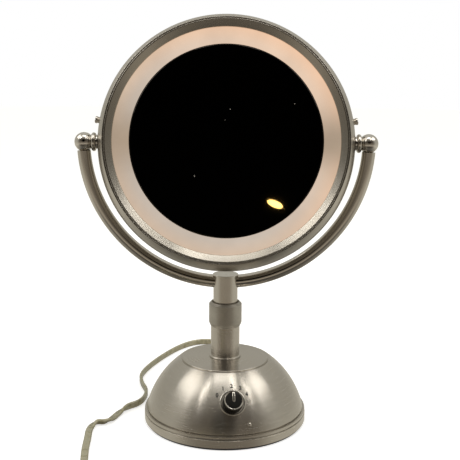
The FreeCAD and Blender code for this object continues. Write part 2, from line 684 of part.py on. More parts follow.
def build():
    coil = cord_coil()
    right_ball, left_ball = yoke_balls()
    return {
        "base_shell": base_shell(), "foot_pad": disc(PAD_R, 0, PAD_H), "bottom_plate": bottom_plate(),
        "bottom_plate_screws": bottom_plate_screws(), "shell_lugs": shell_lugs(), "ballast": ballast(),
        "lower_stem": lower_stem(), "stem_nut": stem_nut(), "dimmer_board": dimmer_board(),
        "terminal_block": terminal_block(), "switch_body": switch_body(), "switch_nut": switch_nut(),
        "escutcheon": escutcheon(), "switch_shaft": switch_shaft(), "knob_body": knob_body(),
        "knob_ring": knob_ring(), "knob_inlay": knob_inlay(), "knob_pointer": knob_pointer(),
        "front_rivet": front_rivet(), "lock_collar": lock_collar(), "collet_bush": collet_bush(),
        "upper_post": upper_post(), "post_cap": post_cap(), "post_stop_ring": post_stop_ring(),
        "yoke_tube": yoke_tube(), "yoke_ball_right": right_ball, "yoke_ball_left": left_ball,
        "pivot_washers": on_pivots(pivot_washer()), "pivot_spindles": on_pivots(pivot_spindle()),
        "spindle_nuts": on_pivots(spindle_nut()), "post_wiring": post_wiring(),
        "pivot_bosses": on_pivots(pivot_boss()), "head_band": head_band(), "front_bezel": on_head(bezel()),
        "rear_bezel": on_head(both_faces(bezel())), "front_mirror": on_head(front_mirror()),
        "front_diffuser": on_head(diffuser()), "rear_mirror": on_head(both_faces(magnifier())),
        "rear_diffuser": on_head(both_faces(diffuser())), "lamp_carrier": on_head(lamp_carrier()),
        "mirror_standoffs": [on_head(post) for post in mirror_standoffs()],
        "lamp_sockets": [on_head(socket) for socket in lamp_sockets()],
        "lamps": [on_head(lamp) for lamp in lamps()], "head_wiring": on_head(head_wiring()),
        "rim_screws": rim_screw_set(rim_screw()), "strain_relief": strain_relief(),
        "cord_inner": cord_inner(), "cord_lead": cord_tube("cord_lead", LEAD_ROUTE).cut(coil),
        "cord_coil": coil, "cord_tail": cord_tube("cord_tail", TAIL_ROUTE).cut(coil).cut(plug_body()),
        "plug_body": plug_body(), "plug_blades": plug_blades(),
    }


os.makedirs("parts", exist_ok=True)
for node, shape in build().items():
    solid = Part.makeCompound(shape) if isinstance(shape, list) else shape
    print(node, "solids", len(solid.Solids), "valid", solid.isValid(), "volume %.0f" % solid.Volume)
    solid.exportStep("parts/" + node + ".step")
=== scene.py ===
import math

import bmesh
import bpy
from mathutils import Matrix, Vector

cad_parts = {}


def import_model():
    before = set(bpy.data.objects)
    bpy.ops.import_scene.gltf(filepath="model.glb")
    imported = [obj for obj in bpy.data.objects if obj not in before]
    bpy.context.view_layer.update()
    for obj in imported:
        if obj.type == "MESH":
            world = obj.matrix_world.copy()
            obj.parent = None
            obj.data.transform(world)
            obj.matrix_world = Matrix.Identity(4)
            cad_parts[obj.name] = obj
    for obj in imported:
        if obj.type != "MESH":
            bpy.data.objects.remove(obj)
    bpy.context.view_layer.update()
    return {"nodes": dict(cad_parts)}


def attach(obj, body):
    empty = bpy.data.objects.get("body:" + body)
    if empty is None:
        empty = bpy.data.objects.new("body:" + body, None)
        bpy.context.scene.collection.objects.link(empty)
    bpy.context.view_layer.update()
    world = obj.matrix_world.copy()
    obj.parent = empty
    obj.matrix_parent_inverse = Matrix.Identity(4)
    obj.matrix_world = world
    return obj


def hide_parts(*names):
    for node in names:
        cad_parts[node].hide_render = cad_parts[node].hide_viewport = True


# Lighted vanity mirror. Lengths in this file are millimetres until they meet Blender, which takes metres.
MM = 0.001
ROUND = 256                 # faces round a large turned piece

# Base and stem
BASE_YAW = 6.6
DOME_R, DOME_H, DOME_Z = 77.3, 83.2, -10.2
LIP_Z, STEP_Z, DISC_TOP_Z = 13.8, 59.4, 61.3
DISC_R = 40.3
SHEET = 1.2
STEM_R, STEM_TOP = 13.5, 97.0
POST_R = 11.3
COLLAR_R, COLLAR_LOW, COLLAR_HIGH = 15.3, 91.5, 114.5
CAP_R, CAP_LOW = 11.9, 139.5

# Yoke and head
PIVOT_Z = 262.3
TILT = 12.7
YOKE_R, TUBE_R = 128.9, 6.05
BALL_X, BALL_R = 128.4, 8.7
BAND_R, BAND_LIP_R, BAND_LIP_H = 116.1, 110.0, 19.0
GLASS_H, GLASS_T = 15.2, 3.0
MIRROR_R = 86.6
DIFFUSER_R = (86.8, 104.5)
SAG_R = 640.0               # radius of the magnifying mirror's dish
SCREW_ANGLE = 9.7

# Switch
KNOB_Z = 38.8
KNOB_LOW, KNOB_HIGH = 1.0, 11.0
KNOB_BASE_R, KNOB_TOP_R = 9.1, 8.2
KNOB_RIBS = 28
POINTER_LOW = 11.5
RIVET_Z, RIVET_YAW = 21.3, 11.6
NUMERAL_R = 15.6
NUMERAL_SIZE, NUMERAL_WEIGHT = 5.4, 0.16
NUMERAL_ANGLES = (60, 30, 0, -30, -60)
INK_LIFT = 0.08

# Lead
LEAD_WIDTH, LEAD_HEIGHT = 6.6, 3.3
EXIT = (-0.0116, 0.0999, 0.0062)
COIL = (-74.0, -173.0)
LEAD_ROUTE = [
    (-0.0116, 0.0999, 0.0062), (-0.0135, 0.115, 0.0049), (-0.0115, 0.134, 0.0033), (-0.004, 0.152, 0.0033),
    (0.005, 0.168, 0.0033), (0.008, 0.187, 0.0033), (0.0, 0.206, 0.0033), (-0.018, 0.217, 0.0033),
    (-0.038, 0.213, 0.0033), (-0.054, 0.195, 0.0033), (-0.066, 0.173, 0.0033), (-0.077, 0.148, 0.0033),
    (-0.086, 0.122, 0.0033), (-0.091, 0.098, 0.0033), (-0.087, 0.075, 0.0033), (-0.08, 0.056, 0.0033),
    (-0.08, 0.038, 0.0033), (-0.0845, 0.023, 0.0033), (-0.095, 0.014, 0.0026), (-0.102, 0.002, 0.00175),
    (-0.106, -0.012, 0.00175), (-0.112, -0.023, 0.0024), (-0.12, -0.021, 0.0024), (-0.1245, -0.034, 0.00175),
    (-0.1225, -0.055, 0.00175), (-0.121, -0.079, 0.00175), (-0.1175, -0.105, 0.00175),
    (-0.1166, -0.132, 0.0024),
    (-0.1162, -0.1555, 0.0033),
]
TAIL_ROUTE = [
    (-0.06, -0.2156, 0.009), (-0.052, -0.2152, 0.008), (-0.044, -0.2159, 0.0074), (-0.036, -0.2156, 0.0074),
]
ON_EDGE = math.pi / 2       # the lead's roll when its flat sides stand upright
FLOOR_GAP = 1.70            # least height of the centre line when flat; on edge it is twice this
ROLL_PASSES = 14
LINE_STEPS = 12

# Studio: the room's colour by elevation, in front of the mirror and behind it
ROOM_FRONT = [
    (-90, (0.06, 0.055, 0.048)), (-29, (0.08, 0.07, 0.058)), (-23, (0.44, 0.39, 0.32)),
    (-16, (0.52, 0.47, 0.39)), (-6, (0.24, 0.21, 0.17)), (24, (0.05, 0.04, 0.03)),
    (48, (0.22, 0.20, 0.17)), (90, (0.62, 0.61, 0.57)),
]
ROOM_BACK = [
    (-90, (0.06, 0.055, 0.048)), (-24, (0.70, 0.67, 0.58)), (8, (0.48, 0.465, 0.41)),
    (90, (0.66, 0.65, 0.60)),
]
DARK_AIM = (0.0, -0.938, 0.345)     # where the mirror looks: a dark corner of the room
BOX_AIM, BOX_DISTANCE = (0, 0, 0.16), 1.6
ROOM_LAMP, ROOM_LAMP_AIM = (0.147, -1.945, 0.768), (0.043, -0.027, 0.211)
CAMERA = (0.0038, -0.780, 0.333)
CAMERA_DOWN, CAMERA_ROLL, CAMERA_LENS = 10.95, 0.42, 67.56


# --- geometry -----------------------------------------------------------------------------------

def dome_radius(z, inset=0.0):
    share = (z - DOME_Z) / (DOME_H - inset)
    return (DOME_R - inset) * math.sqrt(1 - share * share)


def dome_slope(z):
    """Elevation of the dome's outward normal, in radians."""
    return math.atan2((z - DOME_Z) / DOME_H ** 2, dome_radius(z) / DOME_R ** 2)


def arc_points(a, mid, b, count):
    """Points after a on the circle through a, mid and b."""
    (ax, ay), (bx, by), (cx, cy) = a, mid, b
    d = 2 * (ax * (by - cy) + bx * (cy - ay) + cx * (ay - by))
    aa, bb, cc = ax * ax + ay * ay, bx * bx + by * by, cx * cx + cy * cy
    ux = (aa * (by - cy) + bb * (cy - ay) + cc * (ay - by)) / d
    uy = (aa * (cx - bx) + bb * (ax - cx) + cc * (bx - ax)) / d
    radius = math.hypot(ax - ux, ay - uy)
    start = math.atan2(ay - uy, ax - ux)
    end = math.atan2(cy - uy, cx - ux)
    cross = (bx - ax) * (cy - ay) - (by - ay) * (cx - ax)
    if cross > 0 and end < start:
        end += 2 * math.pi
    if cross < 0 and end > start:
        end -= 2 * math.pi
    return [(ux + radius * math.cos(start + (end - start) * k / count),
             uy + radius * math.sin(start + (end - start) * k / count)) for k in range(1, count + 1)]


def softened(points, closed, steps=4):
    """The outline with each corner (r, z, radius) rounded off."""
    result = []
    last = len(points) - 1
    for k, point in enumerate(points):
        size = point[2] if len(point) > 2 else 0.0
        if size == 0.0 or (not closed and k in (0, last)):
            result.append((point[0], point[1]))
            continue
        here = Vector(point[:2])
        before = Vector(points[k - 1][:2]) - here
        after = Vector(points[(k + 1) % len(points)][:2]) - here
        turn = before.angle(after)
        reach = min(size / math.tan(turn / 2), before.length * 0.45, after.length * 0.45)
        start = here + before.normalized() * reach
        end = here + after.normalized() * reach
        for j in range(steps + 1):
            t = j / steps
            spot = start * (1 - t) ** 2 + here * 2 * t * (1 - t) + end * t ** 2
            result.append((spot.x, spot.y))
    return result


def mesh_piece(name, bm, sharp=38):
    """A smooth-shaded object from a bmesh in millimetres."""
    bmesh.ops.scale(bm, vec=(MM, MM, MM), verts=bm.verts)
    bmesh.ops.recalc_face_normals(bm, faces=bm.faces)
    mesh = bpy.data.meshes.new(name)
    bm.to_mesh(mesh)
    bm.free()
    mesh.shade_smooth()
    mesh.set_sharp_from_angle(angle=math.radians(sharp))
    piece = bpy.data.objects.new(name, mesh)
    bpy.context.scene.collection.objects.link(piece)
    return piece


def turned_bm(outline, closed=True, around=ROUND, bm=None):
    """An outline of (r, z) turned about Z."""
    bm = bm or bmesh.new()
    rings = []
    for r, z in outline:
        if r < 1e-6:
            rings.append([bm.verts.new((0, 0, z))])
        else:
            rings.append([bm.verts.new((r * math.cos(2 * math.pi * k / around),
                                        r * math.sin(2 * math.pi * k / around), z)) for k in range(around)])
    pairs = list(zip(rings, rings[1:]))
    if closed:
        pairs.append((rings[-1], rings[0]))
    for low, high in pairs:
        for k in range(around):
            j = (k + 1) % around
            corners = [low[k % len(low)], low[j % len(low)], high[j % len(high)], high[k % len(high)]]
            unique = list(dict.fromkeys(corners))
            if len(unique) > 2:
                bm.faces.new(unique)
    return bm


def lathe(name, points, closed=True, around=ROUND, sharp=38):
    piece = mesh_piece(name, turned_bm(softened(points, closed), closed, around), sharp)
    normals = piece.modifiers.new("normals", "WEIGHTED_NORMAL")
    normals.keep_sharp = True
    return piece


def seated(piece, body, material, nodes=(), place=None):
    """Places a piece, gives it its body and finish, and hides the CAD nodes that it stands for."""
    if place is not None:
        piece.matrix_world = place
    piece.data.materials.clear()
    piece.data.materials.append(material)
    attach(piece, body)
    if nodes:
        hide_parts(*nodes)
    return piece


def turn(axis, degrees):
    return Matrix.Rotation(math.radians(degrees), 4, axis)


def shift(x, y, z):
    return Matrix.Translation((x * MM, y * MM, z * MM))


HEAD = shift(0, 0, PIVOT_Z) @ turn("X", 90 - TILT)
BACK = HEAD @ turn("X", 180)
BASE = turn("Z", BASE_YAW)


def dome_place(z, yaw=0.0):
    """Frame on the dome with +Z outwards and +Y up its side."""
    return (BASE @ turn("Z", yaw) @ shift(0, -dome_radius(z), z)
            @ turn("X", 90 - math.degrees(dome_slope(z))))


def pivot_place(side):
    """Frame of a pivot with +Z outwards along the tilt axis."""
    return shift(0, 0, PIVOT_Z) @ turn("Y", 90 * side)


# --- materials ----------------------------------------------------------------------------------

class Nodes:
    """A material's node tree with short calls."""

    def __init__(self, name):
        self.material = bpy.data.materials.new(name)
        self.material.use_nodes = True
        self.tree = self.material.node_tree
        self.shader = self.tree.nodes["Principled BSDF"]

    def add(self, kind, **settings):
        node = self.tree.nodes.new("ShaderNode" + kind)
        for key, value in settings.items():
            setattr(node, key, value)
        return node

    def link(self, output, socket):
        self.tree.links.new(output, socket)

    def math(self, operation, a, b=0.0):
        node = self.add("Math", operation=operation)
        for socket, value in zip(node.inputs, (a, b)):
            if isinstance(value, (int, float)):
                socket.default_value = value
            else:
                self.link(value, socket)
        return node.outputs[0]

    def noise(self, vector, scale, detail=3.0, rough=0.55):
        node = self.add("TexNoise")
        node.inputs["Scale"].default_value = scale
        node.inputs["Detail"].default_value = detail
        node.inputs["Roughness"].default_value = rough
        self.link(vector, node.inputs["Vector"])
        return node.outputs[0]

    def mapped(self, value, low, high, start=0.3, end=0.7):
        node = self.add("MapRange")
        node.clamp = True
        for key, number in (("From Min", start), ("From Max", end), ("To Min", low), ("To Max", high)):
            node.inputs[key].default_value = number
        self.link(value, node.inputs["Value"])
        return node.outputs[0]

    def blend(self, share, first, second):
        node = self.add("Mix", data_type="RGBA")
        self.link(share, node.inputs[0])
        for socket, value in ((node.inputs[6], first), (node.inputs[7], second)):
            if isinstance(value, tuple):
                socket.default_value = (*value, 1.0)
            else:
                self.link(value, socket)
        return node.outputs[2]

    def bump(self, height, strength, distance):
        node = self.add("Bump")
        node.inputs["Strength"].default_value = strength
        node.inputs["Distance"].default_value = distance
        self.link(height, node.inputs["Height"])
        self.link(node.outputs[0], self.shader.inputs["Normal"])

    def set(self, **values):
        for key, value in values.items():
            socket = self.shader.inputs[key.replace("_", " ")]
            colour = isinstance(value, tuple) and len(socket.default_value) == 4
            socket.default_value = (*value, 1.0) if colour else value


def object_point(m):
    return m.add("TexCoord").outputs["Object"]


def round_parts(m):
    """Where a point lies on the piece: x, y, z and its distance from the Z axis."""
    split = m.add("SeparateXYZ")
    m.link(object_point(m), split.inputs[0])
    x, y, z = split.outputs
    return x, y, z, m.math("SQRT", m.math("ADD", m.math("MULTIPLY", x, x), m.math("MULTIPLY", y, y)))


def brush_lines(m, lean=-1.0, fine=2600.0):
    """A vector that hardly changes round the piece's own Z axis and changes fast across the brush lines."""
    x, y, z, radius = round_parts(m)
    across = m.math("ADD", z, m.math("MULTIPLY", radius, lean))
    joined = m.add("CombineXYZ")
    m.link(m.math("MULTIPLY", x, 45.0), joined.inputs[0])
    m.link(m.math("MULTIPLY", y, 45.0), joined.inputs[1])
    m.link(m.math("MULTIPLY", across, fine), joined.inputs[2])
    return joined.outputs[0]


def brushed_nickel(name, rough=0.30, anisotropy=0.75, lean=-1.0, tint=(0.56, 0.525, 0.47), uv=False,
                   grain=1.0):
    """Satin nickel, brushed round the piece: fine lines, a slow mottle and small dull marks."""
    m = Nodes(name)
    lines = m.noise(brush_lines(m, lean), 1.0, 4.0, 0.7)
    mottle = m.noise(object_point(m), 55.0, 4.0)
    speckle = m.noise(object_point(m), 900.0, 2.0)
    dark = tuple((1 - 0.13 * grain) * c for c in tint)
    colour = m.blend(m.mapped(lines, 0.0, 1.0, 0.34, 0.66), dark, tint)
    aged = tuple(c * f for c, f in zip(tint, (0.96, 0.94, 0.90)))
    colour = m.blend(m.mapped(mottle, 0.0, 0.55, 0.45, 0.75), colour, aged)
    m.link(colour, m.shader.inputs["Base Color"])
    worn = m.mapped(mottle, rough - 0.01, rough + 0.02)
    spread = m.math("ADD", m.mapped(lines, -0.03 * grain, 0.04 * grain), worn)
    m.link(m.math("ADD", spread, m.mapped(speckle, -0.01, 0.01)), m.shader.inputs["Roughness"])
    m.set(Metallic=1.0, Anisotropic=anisotropy, Anisotropic_Rotation=0.25)
    tangent = m.add("Tangent", direction_type="UV_MAP" if uv else "RADIAL")
    if not uv:
        tangent.axis = "Z"
    m.link(tangent.outputs[0], m.shader.inputs["Tangent"])
    m.bump(lines, 0.07 * grain, 0.00004)
    return m.material


def bright_nickel(name, tint=(0.66, 0.625, 0.57), rough=0.10):
    m = Nodes(name)
    haze = m.noise(object_point(m), 260.0, 4.0)
    dull = tuple(0.86 * c for c in tint)
    m.link(m.blend(m.mapped(haze, 0.0, 1.0), dull, tint), m.shader.inputs["Base Color"])
    m.link(m.mapped(haze, rough, rough + 0.09), m.shader.inputs["Roughness"])
    m.set(Metallic=1.0)
    m.bump(m.noise(object_point(m), 800.0), 0.05, 0.00004)
    return m.material


def blasted_nickel(name):
    """The lock collar's fine-textured nickel."""
    m = Nodes(name)
    grain = m.noise(object_point(m), 2400.0, 2.0)
    wear = m.noise(object_point(m), 120.0, 4.0)
    m.link(m.blend(m.mapped(grain, 0.0, 1.0), (0.36, 0.34, 0.30), (0.52, 0.49, 0.44)),
           m.shader.inputs["Base Color"])
    m.link(m.mapped(wear, 0.36, 0.48), m.shader.inputs["Roughness"])
    m.set(Metallic=1.0)
    m.bump(grain, 0.35, 0.00012)
    return m.material


def plain_metal(name, tint, rough):
    m = Nodes(name)
    cast = m.noise(object_point(m), 300.0, 5.0)
    dull = tuple(0.7 * c for c in tint)
    m.link(m.blend(m.mapped(cast, 0.0, 1.0), dull, tint), m.shader.inputs["Base Color"])
    m.link(m.mapped(cast, rough - 0.06, rough + 0.10), m.shader.inputs["Roughness"])
    m.set(Metallic=1.0)
    m.bump(cast, 0.2, 0.0001)
    return m.material


def plastic(name, tint, rough, coat=0.0, grain=900.0, depth=0.10):
    m = Nodes(name)
    fine = m.noise(object_point(m), grain, 3.0)
    dust = m.noise(object_point(m), 140.0, 5.0)
    m.link(m.blend(m.mapped(dust, 0.0, 1.0, 0.45, 0.8), tint, tuple(1.3 * c + 0.002 for c in tint)),
           m.shader.inputs["Base Color"])
    m.link(m.mapped(fine, rough - 0.04, rough + 0.06), m.shader.inputs["Roughness"])
    m.set(Coat_Weight=coat, Coat_Roughness=0.06)
    m.bump(fine, depth, 0.0001)
    return m.material


def silvered_glass(name):
    """A mirror with a few specks of dust."""
    m = Nodes(name)
    speck = m.add("TexVoronoi", feature="F1")
    speck.inputs["Scale"].default_value = 95.0
    m.link(object_point(m), speck.inputs["Vector"])
    keep = m.math("GREATER_THAN", m.noise(object_point(m), 60.0, 1.0), 0.60)
    dot = m.math("MULTIPLY", m.math("LESS_THAN", speck.outputs["Distance"], 0.045), keep)
    # Painted shade: the mirror's outer 1.2 mm has a near-black base colour, so its bevel shows no reflection.
    rim = m.math("GREATER_THAN", round_parts(m)[3], (MIRROR_R - 1.2) * MM)
    silver = m.blend(dot, (0.88, 0.88, 0.87), (0.55, 0.52, 0.48))
    m.link(m.blend(rim, silver, (0.02, 0.018, 0.016)), m.shader.inputs["Base Color"])
    haze = m.mapped(m.noise(object_point(m), 20.0), 0.008, 0.02)
    m.link(m.math("ADD", m.math("MULTIPLY", dot, 0.85), haze), m.shader.inputs["Roughness"])
    m.link(m.math("SUBTRACT", 1.0, dot), m.shader.inputs["Metallic"])
    return m.material


def lit_frost(name):
    """Frosted glass with four lamps behind it, dimmer at the pivots."""
    m = Nodes(name)
    x, y, _, radius = round_parts(m)
    side = m.math("DIVIDE", m.math("ABSOLUTE", x), radius)
    at_pivot = m.math("POWER", side, 22.0)
    right_top = m.math("MULTIPLY", m.math("DIVIDE", m.math("ADD", x, y), radius), 0.707)
    warm = m.mapped(right_top, 0.0, 1.0, -0.4, 1.0)
    outer = m.mapped(radius, 0.0, 1.0, 0.090, 0.104)
    inner_tint = m.blend(warm, (0.56, 0.475, 0.40), (0.80, 0.59, 0.44))
    outer_tint = m.blend(warm, (0.64, 0.475, 0.345), (0.90, 0.57, 0.37))
    tint = m.blend(outer, inner_tint, outer_tint)
    tint = m.blend(m.mapped(at_pivot, 0.0, 1.0, 0.0, 1.0), tint, (0.38, 0.29, 0.21))
    frost = m.noise(object_point(m), 1500.0, 2.0)
    cloud = m.noise(object_point(m), 30.0, 3.0)
    m.link(tint, m.shader.inputs["Emission Color"])
    m.link(m.mapped(cloud, 0.90, 1.02), m.shader.inputs["Emission Strength"])
    m.link(m.mapped(frost, 0.38, 0.55), m.shader.inputs["Roughness"])
    m.link(m.blend(frost, (0.05, 0.045, 0.04), (0.08, 0.07, 0.06)), m.shader.inputs["Base Color"])
    m.bump(frost, 0.1, 0.00005)
    return m.material


def clear_gold(name):
    """Clear gold vinyl over fine copper, with painted shade: the colour darkens where the lead is seen at a
    slant.
    """
    m = Nodes(name)
    edge = m.add("LayerWeight")
    edge.inputs["Blend"].default_value = 0.45
    streak = m.noise(object_point(m), 240.0, 4.0)
    core = m.blend(m.mapped(streak, 0.0, 1.0), (0.42, 0.39, 0.25), (0.68, 0.64, 0.47))
    # Painted shade: the base colour turns dark olive towards the lead's edges, by the angle it is seen at.
    m.link(m.blend(m.mapped(edge.outputs["Facing"], 0.0, 1.0, 0.25, 0.90), core, (0.16, 0.15, 0.065)),
           m.shader.inputs["Base Color"])
    m.link(m.mapped(streak, 0.24, 0.36), m.shader.inputs["Roughness"])
    m.set(Coat_Weight=0.5, Coat_Roughness=0.12)
    m.set(Subsurface_Weight=0.15, Subsurface_Radius=(0.003, 0.0024, 0.001))
    m.bump(m.noise(object_point(m), 500.0), 0.10, 0.0001)
    return m.material


# --- the turned pieces --------------------------------------------------------------------------

def base_outline():
    """The spun base: band, bead, groove, dome and stepped disc, as one sheet."""
    groove = dome_radius(LIP_Z) - 1.0
    points = [(75.0, 1.8, 0.3), (76.2, 1.8, 0.4), (76.2, 9.0, 0.35), (75.0, 9.3, 0.15), (75.7, 9.6, 0.2)]
    points += [(r, z) for r, z in arc_points((75.7, 9.6), (76.0, 11.1), (75.7, 12.6), 8)]
    points += [(groove, 12.8, 0.15), (groove, LIP_Z - 0.4, 0.15), (dome_radius(LIP_Z), LIP_Z, 0.8)]
    rise = STEP_Z - LIP_Z
    points += [(dome_radius(LIP_Z + rise * k / 72), LIP_Z + rise * k / 72) for k in range(1, 72)]
    points += [(dome_radius(STEP_Z), STEP_Z, 0.5), (DISC_R, STEP_Z - 0.6, 0.2), (DISC_R, 59.7)]
    points += arc_points((DISC_R, 59.7), (DISC_R - 0.3, 60.1), (DISC_R - 1.0, 60.2), 6)
    top = DISC_TOP_Z
    points += [(DISC_R - 1 - (DISC_R - 14.6) * k / 10, 60.2 + 1.1 * k / 10) for k in range(1, 10)]
    under = STEP_Z - 2.0
    points += [(13.6, top), (13.6, top - SHEET), (DISC_R - SHEET, 60.2 - SHEET), (DISC_R - SHEET, under)]
    fall = under - (LIP_Z + 1)
    points += [(dome_radius(under - fall * k / 24, SHEET), under - fall * k / 24) for k in range(25)]
    points += [(groove - SHEET, LIP_Z), (groove - SHEET, 9.0), (75.0, 9.0 - SHEET)]
    return points


def make_base(nickel):
    seated(lathe("base_shell_spun", base_outline(), around=320), "base", nickel,
           ["base_shell"], BASE)
    top = DISC_TOP_Z
    stem = [
        (12.2, 34), (STEM_R, 34), (STEM_R, top), (14.9, top, 0.2), (14.9, top + 0.9), (14.7, top + 1.25),
        (14.2, top + 1.5), (STEM_R, top + 1.75, 0.15), (STEM_R, STEM_TOP, 0.3), (13.0, STEM_TOP),
        (13.0, 105), (12.2, 105),
    ]
    seated(lathe("lower_stem_tube", stem, around=160), "base", nickel, ["lower_stem"])


def make_collar(material):
    points = [
        (13.58, COLLAR_LOW, 0.15), (13.9, COLLAR_LOW, 0.15), (COLLAR_R, 94.7, 0.5), (COLLAR_R, 112.3, 0.5),
        (13.4, COLLAR_HIGH, 0.3), (12.6, COLLAR_HIGH, 0.25), (11.7, 112.7), (11.7, 112.1), (13.08, 106.0),
        (13.08, 97.3), (13.58, 97.3),
    ]
    collar = lathe("lock_collar_turned", points, around=160)
    seated(collar, "collar", material, ["lock_collar"])


def make_post(nickel, plain):
    high = CAP_LOW + 1.25
    points = [(0, CAP_LOW), (CAP_R, CAP_LOW, 0.2), (CAP_R, CAP_LOW + 1.2, 0.45), (2, high), (0, high)]
    cap = lathe("post_cap_turned", points, closed=False, around=128)
    seated(cap, "post", plain, ["post_cap"])
    tube = [(9.6, 38, 0.2), (POST_R, 38, 0.3), (POST_R, 125), (POST_R, CAP_LOW), (9.6, CAP_LOW)]
    seated(lathe("post_tube", tube, around=160), "post", nickel, ["upper_post"])


def make_yoke(nickel, bright):
    bm = bmesh.new()
    uv = bm.loops.layers.uv.new("brush")
    steps, around = 220, 40
    start = math.radians(3.4)
    rings = []
    for k in range(steps + 1):
        a = math.pi + start + (math.pi - 2 * start) * k / steps
        centre = Vector((YOKE_R * math.cos(a), 0, YOKE_R * math.sin(a) + PIVOT_Z))
        out = Vector((math.cos(a), 0, math.sin(a)))
        rings.append([bm.verts.new(centre + (out * math.cos(b) + Vector((0, 1, 0)) * math.sin(b)) * TUBE_R)
                      for b in (2 * math.pi * j / around for j in range(around))])
    for k in range(steps):
        for j in range(around):
            n = (j + 1) % around
            face = bm.faces.new([rings[k][j], rings[k][n], rings[k + 1][n], rings[k + 1][j]])
            spots = [(j, k), (j + 1, k), (j + 1, k + 1), (j, k + 1)]
            for loop, (u, v) in zip(face.loops, spots):
                loop[uv].uv = (u / around, v / steps)
    bm.faces.new(rings[0])
    bm.faces.new(rings[-1])
    seated(mesh_piece("yoke_bent_tube", bm), "post", nickel, ["yoke_tube"])
    for side, word in ((1, "right"), (-1, "left")):
        ball = [(4.05, 121.6), (5.6, 121.6, 0.2), (5.9, 122.0), (5.9, BALL_X - 6.4)]
        low = math.asin(5.9 / BALL_R)
        sweep = [math.pi - low - (math.pi - low) * k / 40 for k in range(41)]
        ball += [(BALL_R * math.sin(a), BALL_X + BALL_R * math.cos(a)) for a in sweep[:-1]]
        ball = [(0, 121.6)] + ball + [(0, BALL_X + BALL_R)]
        seated(lathe("yoke_ball_" + word + "_turned", ball, closed=False, around=96), "post", bright,
               ["yoke_ball_" + word], pivot_place(side))
        washer = [(4.0, 117.6), (6.9, 117.6, 0.2)]
        washer += arc_points((6.9, 117.6), (8.5, 119.3), (6.3, 121.5), 14) + [(4.0, 121.5)]
        seated(lathe("pivot_washer_" + word, washer, around=96), "post", bright,
               ["pivot_washers"] if side > 0 else [], pivot_place(side))
        boss = [
            (4.05, 112.3), (5.0, 112.3), (5.0, 115.6), (6.3, 115.9, 0.2), (6.3, 117.3, 0.25), (4.05, 117.3),
        ]
        seated(lathe("pivot_boss_" + word, boss, around=96), "head", bright,
               ["pivot_bosses"] if side > 0 else [], pivot_place(side))


def band_outline():
    lip, high, wall = BAND_LIP_R, BAND_LIP_H, 1.0
    points = [(lip - wall, -high, 0.2), (lip, -high, 0.3)]
    points += arc_points((lip, -high), (BAND_R, 0), (lip, high), 32)[:-1]
    points += [(lip, high, 0.3), (lip - wall, high, 0.2)]
    points += arc_points((lip - wall, high), (BAND_R - wall, 0), (lip - wall, -high), 32)[:-1]
    return points


def bezel_outline():
    back = GLASS_H + 0.1
    return [
        (101.5, back, 0.15), (101.9, back + 0.7, 0.3), (103.4, 16.9), (105.3, 18.0), (107.3, 19.15, 0.5),
        (108.3, 19.4, 0.35), (108.95, 18.7, 0.3), (108.95, 10.8), (107.4, 10.8), (107.4, 16.9), (104.5, back),
    ]


def make_head(nickel, funnel_painted_shade, glass, frost):
    seated(lathe("head_band_rolled", band_outline(), around=320), "head", nickel,
           ["head_band"], HEAD)
    for word, place in (("front", HEAD), ("rear", BACK)):
        seated(lathe(word + "_bezel_spun", bezel_outline(), around=320), "head", funnel_painted_shade,
               [word + "_bezel"], place)
        inner, outer = DIFFUSER_R
        low = GLASS_H - GLASS_T
        ring = [(inner, low), (outer, low), (outer, GLASS_H), (inner, GLASS_H, 0.3)]
        seated(lathe(word + "_diffuser_glass", ring, around=320), "head", frost,
               [word + "_diffuser"], place)
    flat = [(0, 12.2), (MIRROR_R, 12.2), (MIRROR_R, 14.55), (MIRROR_R - 1.1, GLASS_H), (0, GLASS_H)]
    seated(lathe("front_mirror_glass", flat, closed=False, sharp=12), "head", glass,
           ["front_mirror"], HEAD)
    sag = [SAG_R - math.sqrt(SAG_R ** 2 - (MIRROR_R * k / 40) ** 2) for k in range(41)]
    edge = GLASS_H - 0.1
    dish = [(MIRROR_R * k / 40, edge - GLASS_T - sag[40] + sag[k]) for k in range(41)]
    dish += [(MIRROR_R * k / 40, edge - sag[40] + sag[k]) for k in range(40, -1, -1)]
    seated(lathe("rear_mirror_glass", dish, closed=False), "head", glass,
           ["rear_mirror"], BACK)


def make_rim_screws(bright):
    for side, word in ((1, "right"), (-1, "left")):
        points = [
            (0, 112.2), (1.5, 112.2), (1.5, 116.0), (2.8, 116.12), (2.8, 118.2), (3.2, 118.3, 0.2),
            (3.2, 119.9, 0.35), (2.4, 120.3), (0, 120.4),
        ]
        screw = lathe("rim_screw_" + word, points, closed=False, around=64)
        bm = bmesh.new()
        bmesh.ops.create_cube(bm, size=1.0)
        bmesh.ops.scale(bm, vec=(9, 1.1, 1.5), verts=bm.verts)
        cutter = mesh_piece("screw_slot_" + word, bm)
        aim = HEAD @ turn("Z", SCREW_ANGLE if side > 0 else 180 - SCREW_ANGLE) @ turn("Y", 90)
        cutter.matrix_world = shift(0, 0, 120.4)
        bpy.context.view_layer.update()
        cut(screw, [cutter])
        seated(screw, "head", bright, ["rim_screws"] if side > 0 else [], aim)


def cut(piece, cutters):
    """Cuts holes in a piece for good, then removes the cutters."""
    for cutter in cutters:
        hole = piece.modifiers.new("hole", "BOOLEAN")
        hole.object = cutter
        hole.operation = "DIFFERENCE"
    graph = bpy.context.evaluated_depsgraph_get()
    graph.update()
    mesh = bpy.data.meshes.new_from_object(piece.evaluated_get(graph))
    piece.modifiers.clear()
    piece.data = mesh
    mesh.shade_smooth()
    mesh.set_sharp_from_angle(angle=math.radians(38))
    for cutter in cutters:
        bpy.data.objects.remove(cutter)


# --- rotary switch ------------------------------------------------------------------------------

